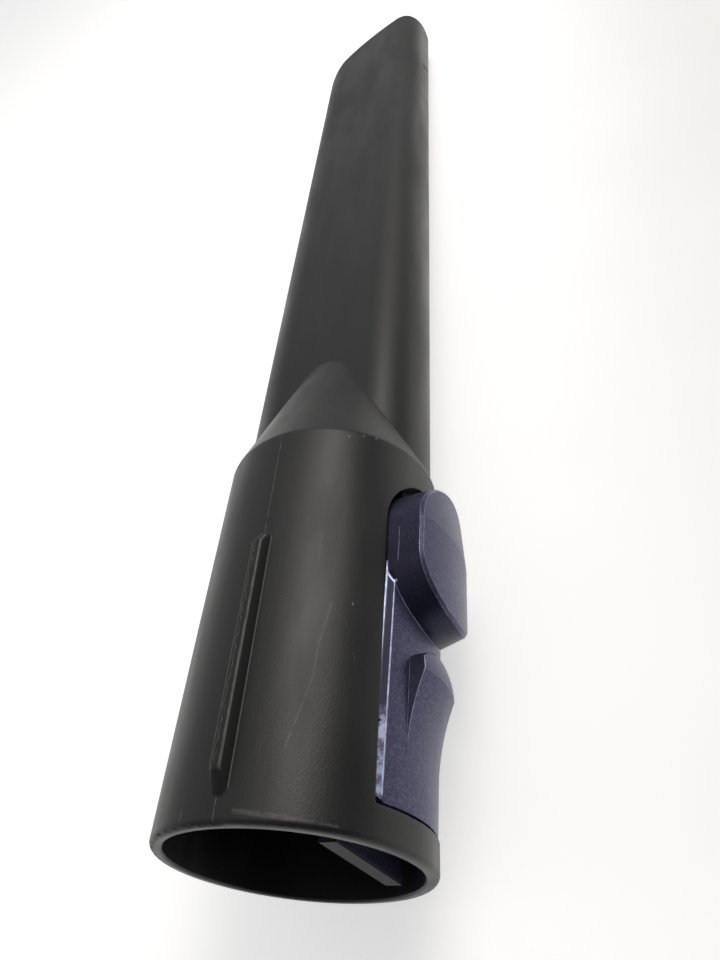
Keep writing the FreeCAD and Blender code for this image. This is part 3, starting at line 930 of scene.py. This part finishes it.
@dataclass
class ReturnSpring:
    """Coil spring that pushes the latch's pad out, standing on the pocket's floor."""

    finish: SpringWire = SpringWire()
    mean_radius: float = 3.2 * MM
    wire: float = 0.8 * MM
    turns: int = 5
    wire_sides: int = 14
    steps: int = 40
    weld: float = 0.001 * MM
    smooth_angle: float = math.radians(40)
    joint: str = "latch_press"
    pressed: float = 0.85

    def wind(self, length: float) -> bpy.types.Object:
        """Wind the coil upright about the origin and grind both ends flat.

        Args:
            length: height between the ground ends.

        Returns:
            The coil's object.
        """
        deselect_all()
        bpy.ops.mesh.primitive_circle_add(
            vertices=self.wire_sides,
            radius=self.wire / 2,
            location=(self.mean_radius, 0, 0),
            rotation=(math.pi / 2, 0, 0),
        )
        coil = bpy.context.object
        coil.name = "return_spring"
        bpy.ops.object.transform_apply(location=True, rotation=True, scale=True)
        winding = coil.modifiers.new("winding", "SCREW")
        winding.axis = "Z"
        winding.angle = math.tau
        winding.iterations = self.turns
        winding.screw_offset = (length + self.wire) / self.turns
        winding.steps = winding.render_steps = self.steps
        winding.use_merge_vertices = False
        bpy.ops.object.modifier_apply(modifier=winding.name)
        bpy.ops.object.mode_set(mode="EDIT")
        for height, outward in ((self.wire / 2, -1.0), (length + self.wire / 2, 1.0)):
            bpy.ops.mesh.select_all(action="SELECT")
            bpy.ops.mesh.bisect(
                plane_co=(0, 0, height), plane_no=(0, 0, outward), use_fill=True, clear_outer=True
            )
        bpy.ops.mesh.select_all(action="SELECT")
        bpy.ops.mesh.remove_doubles(threshold=self.weld)
        bpy.ops.mesh.normals_make_consistent(inside=False)
        bpy.ops.object.mode_set(mode="OBJECT")
        bpy.ops.object.shade_smooth_by_angle(angle=self.smooth_angle)
        coil.location.z = -self.wire / 2
        bpy.ops.object.transform_apply(location=True, rotation=False, scale=False)
        return coil

    def build(self) -> bpy.types.Object:
        """Wind the coil, set it where its CAD node is, hide that node and fix the coil to the
        tool's body.

        Returns:
            The coil's object.
        """
        low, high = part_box(Node.SPRING.value)
        coil = self.wind(high[0] - low[0])
        seat = (low[0], (low[1] + high[1]) / 2, (low[2] + high[2]) / 2)
        coil.rotation_euler = (0, math.pi / 2, 0)
        coil.location = seat
        bpy.ops.object.transform_apply(location=True, rotation=True, scale=True)
        coil.data.materials.append(self.finish.make())
        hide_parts(Node.SPRING.value)
        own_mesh(coil)
        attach(coil, Body.TOOL.value)
        return coil


@dataclass(frozen=True)
class SoftLight:
    """Soft box over the table, aimed at a point on the tool."""

    name: str = "key_softbox"
    place: Point = (0.31, 0.48, 0.75)
    aim: Point = (0.0, 0.04, 0.0)
    width: float = 0.55
    height: float = 0.55
    power: float = 3.6
    colour: str = "#fffbf5"

    def build(self) -> bpy.types.Object:
        """Add the light.

        Returns:
            The light's object.
        """
        lamp = bpy.data.lights.new(self.name, "AREA")
        lamp.shape = "RECTANGLE"
        lamp.size = self.width
        lamp.size_y = self.height
        lamp.energy = self.power
        lamp.color = linear(self.colour)[:3]
        holder = bpy.data.objects.new(self.name, lamp)
        bpy.context.scene.collection.objects.link(holder)
        holder.location = self.place
        aim = Vector(self.aim) - Vector(self.place)
        holder.rotation_euler = aim.to_track_quat("-Z", "Y").to_euler()
        return holder


@dataclass
class Studio:
    """Pale table, soft light and the camera."""

    sheet: OpalTable = OpalTable()
    light: SoftLight = SoftLight()
    shoulder: Span = (62.0 * MM, -19.25 * MM)
    tip: Span = (286.0 * MM, -9.0 * MM)
    table_size: float = 6.0
    sky_pole: Point = (-0.55, 0.62, 0.56)
    sky_reach: Span = (-0.5, 0.8)
    sky_dark: float = 0.06
    sky_bright: float = 0.44
    lens: float = 27.21
    shift: Span = (0.0488, -0.0135)
    near: float = 0.005
    eye: Point = (0.05475, -0.02324, 0.09215)
    right: Point = (0.878566, 0.103098, -0.466361)
    up: Point = (0.242472, 0.744966, 0.621476)

    def table(self) -> bpy.types.Object:
        """Lay the table under the shoulder and the tip, where the tool touches it.

        Returns:
            The table's object.
        """
        deselect_all()
        bpy.ops.mesh.primitive_plane_add(size=self.table_size)
        sheet = bpy.context.object
        sheet.name = "table"
        slope = math.atan2(self.tip[1] - self.shoulder[1], self.tip[0] - self.shoulder[0])
        sheet.rotation_euler = (slope, 0, 0)
        sheet.location = (0, self.shoulder[0], self.shoulder[1])
        bpy.ops.object.transform_apply(location=True, rotation=True, scale=True)
        sheet.data.materials.append(self.sheet.make())
        return sheet

    def world(self) -> None:
        """Fill the room with white light that falls off towards the dark front and right."""
        room = bpy.data.worlds.new("studio_room")
        room.use_nodes = True
        tree = room.node_tree
        tree.nodes.clear()
        direction = add_node(tree, Kind.COORDINATES).outputs["Generated"]
        inputs = {0: direction, 1: self.sky_pole}
        facing = add_node(tree, Kind.VECTOR, inputs, operation="DOT_PRODUCT").outputs["Value"]
        start, end = self.sky_reach
        inputs = {0: facing, 1: start, 2: end, 3: self.sky_dark, 4: self.sky_bright}
        strength = add_node(tree, Kind.RANGE, inputs)
        inputs = {"Color": (1.0, 1.0, 1.0, 1.0), "Strength": strength}
        sky = add_node(tree, Kind.BACKGROUND, inputs)
        add_node(tree, Kind.WORLD, {"Surface": sky})
        bpy.context.scene.world = room

    def camera(self) -> bpy.types.Object:
        """Set the camera where the photograph was taken.

        Returns:
            The camera's object.
        """
        optics = bpy.data.cameras.new("camera")
        optics.lens = self.lens
        optics.shift_x, optics.shift_y = self.shift
        optics.clip_start = self.near
        holder = bpy.data.objects.new("camera", optics)
        bpy.context.scene.collection.objects.link(holder)
        right, up = Vector(self.right), Vector(self.up)
        turn = Matrix((right, up, right.cross(up))).transposed().to_4x4()
        holder.matrix_world = Matrix.Translation(self.eye) @ turn
        bpy.context.scene.camera = holder
        return holder

    def build(self) -> None:
        """Set up the table, the light, the camera and a plain colour response."""
        self.table()
        self.world()
        self.light.build()
        self.camera()
        bpy.context.scene.view_settings.view_transform = "Standard"


def main() -> None:
    """Dress the tool, wind its spring and set up the studio."""
    logging.basicConfig(level=logging.INFO)
    for piece in (NozzleMoulding(), LatchMoulding(), ReturnSpring()):
        made = piece.build()
        log.info("%s: %d faces", made.name, len(made.data.polygons))
    Studio().build()


if __name__ == "__main__":
    main()
